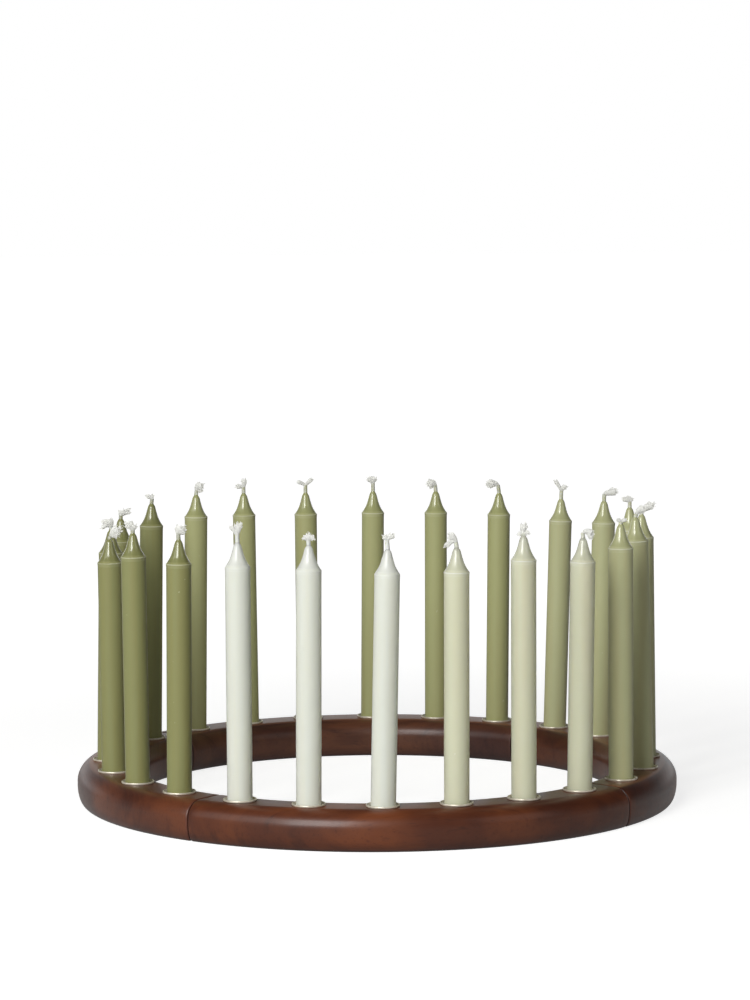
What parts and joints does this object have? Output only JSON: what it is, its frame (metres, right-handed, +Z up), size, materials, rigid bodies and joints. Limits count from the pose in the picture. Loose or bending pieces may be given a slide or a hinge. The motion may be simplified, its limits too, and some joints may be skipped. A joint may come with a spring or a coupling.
{
  "type": "advent candle ring",
  "caption": "Low round wooden ring of quarter arcs with metal cups that hold slim tapered-tip wax candles, from white to olive.",
  "frame": {"origin": "centre of the ring on the table that it stands on", "axes": "+Z up out of the table, -Y to the middle of the front arc, +X to the middle of the right arc"},
  "size_m": [0.328, 0.328, 0.1649],
  "materials": {
    "wood": "dark walnut stain, satin lacquer",
    "cup_metal": "pale champagne sheet metal, satin",
    "wax_white": "near white wax, satin",
    "wax_cream": "pale green cream wax, satin",
    "wax_sage": "sage wax, satin",
    "wax_moss": "moss green wax, satin",
    "wax_olive": "olive wax, satin",
    "cotton": "white cotton, waxed at the neck and frayed at the end"
  },
  "bodies": {
    "front_arc": {"arc_front": "wood", "cups_front": "cup_metal"},
    "right_arc": {"arc_right": "wood", "cups_right": "cup_metal"},
    "back_arc": {"arc_back": "wood", "cups_back": "cup_metal"},
    "left_arc": {"arc_left": "wood", "cups_left": "cup_metal"},
    "candle_01": {"candle_01": "wax_white", "wick_01": "cotton"},
    "candle_02": {"candle_02": "wax_white", "wick_02": "cotton"},
    "candle_03": {"candle_03": "wax_white", "wick_03": "cotton"},
    "candle_04": {"candle_04": "wax_cream", "wick_04": "cotton"},
    "candle_05": {"candle_05": "wax_cream", "wick_05": "cotton"},
    "candle_06": {"candle_06": "wax_cream", "wick_06": "cotton"},
    "candle_07": {"candle_07": "wax_sage", "wick_07": "cotton"},
    "candle_08": {"candle_08": "wax_sage", "wick_08": "cotton"},
    "candle_09": {"candle_09": "wax_sage", "wick_09": "cotton"},
    "candle_10": {"candle_10": "wax_sage", "wick_10": "cotton"},
    "candle_11": {"candle_11": "wax_sage", "wick_11": "cotton"},
    "candle_12": {"candle_12": "wax_sage", "wick_12": "cotton"},
    "candle_13": {"candle_13": "wax_moss", "wick_13": "cotton"},
    "candle_14": {"candle_14": "wax_moss", "wick_14": "cotton"},
    "candle_15": {"candle_15": "wax_moss", "wick_15": "cotton"},
    "candle_16": {"candle_16": "wax_moss", "wick_16": "cotton"},
    "candle_17": {"candle_17": "wax_moss", "wick_17": "cotton"},
    "candle_18": {"candle_18": "wax_moss", "wick_18": "cotton"},
    "candle_19": {"candle_19": "wax_olive", "wick_19": "cotton"},
    "candle_20": {"candle_20": "wax_olive", "wick_20": "cotton"},
    "candle_21": {"candle_21": "wax_olive", "wick_21": "cotton"},
    "candle_22": {"candle_22": "wax_olive", "wick_22": "cotton"},
    "candle_23": {"candle_23": "wax_olive", "wick_23": "cotton"},
    "candle_24": {"candle_24": "wax_olive", "wick_24": "cotton"}
  },
  "joints": [
    {"name": "right_arc_pull", "type": "slide", "parent": "front_arc", "child": "right_arc", "axis": [1, 0, 0], "range_m": [0, 0.06]},
    {"name": "back_arc_pull", "type": "slide", "parent": "front_arc", "child": "back_arc", "axis": [0, 1, 0], "range_m": [0, 0.06]},
    {"name": "left_arc_pull", "type": "slide", "parent": "front_arc", "child": "left_arc", "axis": [-1, 0, 0], "range_m": [0, 0.06]},
    {"name": "candle_01_lift", "type": "slide", "parent": "front_arc", "child": "candle_01", "axis": [-0.0028, 0, 1], "range_m": [0, 0.03]},
    {"name": "candle_02_lift", "type": "slide", "parent": "front_arc", "child": "candle_02", "axis": [0.0056, 0, 1], "range_m": [0, 0.03]},
    {"name": "candle_03_lift", "type": "slide", "parent": "front_arc", "child": "candle_03", "axis": [0.0209, 0, 0.9998], "range_m": [0, 0.03]},
    {"name": "candle_04_lift", "type": "slide", "parent": "front_arc", "child": "candle_04", "axis": [0.0014, 0, 1], "range_m": [0, 0.03]},
    {"name": "candle_05_lift", "type": "slide", "parent": "front_arc", "child": "candle_05", "axis": [-0.0014, 0, 1], "range_m": [0, 0.03]},
    {"name": "candle_06_lift", "type": "slide", "parent": "front_arc", "child": "candle_06", "axis": [0.0126, 0, 0.9999], "range_m": [0, 0.03]},
    {"name": "candle_07_lift", "type": "slide", "parent": "right_arc", "child": "candle_07", "axis": [-0.0042, 0, 1], "range_m": [0, 0.03]},
    {"name": "candle_08_lift", "type": "slide", "parent": "right_arc", "child": "candle_08", "axis": [-0.0279, 0, 0.9996], "range_m": [0, 0.03]},
    {"name": "candle_09_lift", "type": "slide", "parent": "right_arc", "child": "candle_09", "axis": [-0.014, 0, 0.9999], "range_m": [0, 0.03]},
    {"name": "candle_10_lift", "type": "slide", "parent": "right_arc", "child": "candle_10", "axis": [0, 0, 1], "range_m": [0, 0.03]},
    {"name": "candle_11_lift", "type": "slide", "parent": "right_arc", "child": "candle_11", "axis": [0.0223, 0, 0.9998], "range_m": [0, 0.03]},
    {"name": "candle_12_lift", "type": "slide", "parent": "right_arc", "child": "candle_12", "axis": [0.0279, 0, 0.9996], "range_m": [0, 0.03]},
    {"name": "candle_13_lift", "type": "slide", "parent": "back_arc", "child": "candle_13", "axis": [0.0098, 0, 1], "range_m": [0, 0.03]},
    {"name": "candle_14_lift", "type": "slide", "parent": "back_arc", "child": "candle_14", "axis": [0.0014, 0, 1], "range_m": [0, 0.03]},
    {"name": "candle_15_lift", "type": "slide", "parent": "back_arc", "child": "candle_15", "axis": [0.0084, 0, 1], "range_m": [0, 0.03]},
    {"name": "candle_16_lift", "type": "slide", "parent": "back_arc", "child": "candle_16", "axis": [-0.0056, 0, 1], "range_m": [0, 0.03]},
    {"name": "candle_17_lift", "type": "slide", "parent": "back_arc", "child": "candle_17", "axis": [-0.0112, 0, 0.9999], "range_m": [0, 0.03]},
    {"name": "candle_18_lift", "type": "slide", "parent": "back_arc", "child": "candle_18", "axis": [0.0126, 0, 0.9999], "range_m": [0, 0.03]},
    {"name": "candle_19_lift", "type": "slide", "parent": "left_arc", "child": "candle_19", "axis": [0.0154, 0, 0.9999], "range_m": [0, 0.03]},
    {"name": "candle_20_lift", "type": "slide", "parent": "left_arc", "child": "candle_20", "axis": [0.007, 0, 1], "range_m": [0, 0.03]},
    {"name": "candle_21_lift", "type": "slide", "parent": "left_arc", "child": "candle_21", "axis": [0.0182, 0, 0.9998], "range_m": [0, 0.03]},
    {"name": "candle_22_lift", "type": "slide", "parent": "left_arc", "child": "candle_22", "axis": [-0.0098, 0, 1], "range_m": [0, 0.03]},
    {"name": "candle_23_lift", "type": "slide", "parent": "left_arc", "child": "candle_23", "axis": [-0.0098, 0, 1], "range_m": [0, 0.03]},
    {"name": "candle_24_lift", "type": "slide", "parent": "left_arc", "child": "candle_24", "axis": [0.0056, 0, 1], "range_m": [0, 0.03]}
  ]
}
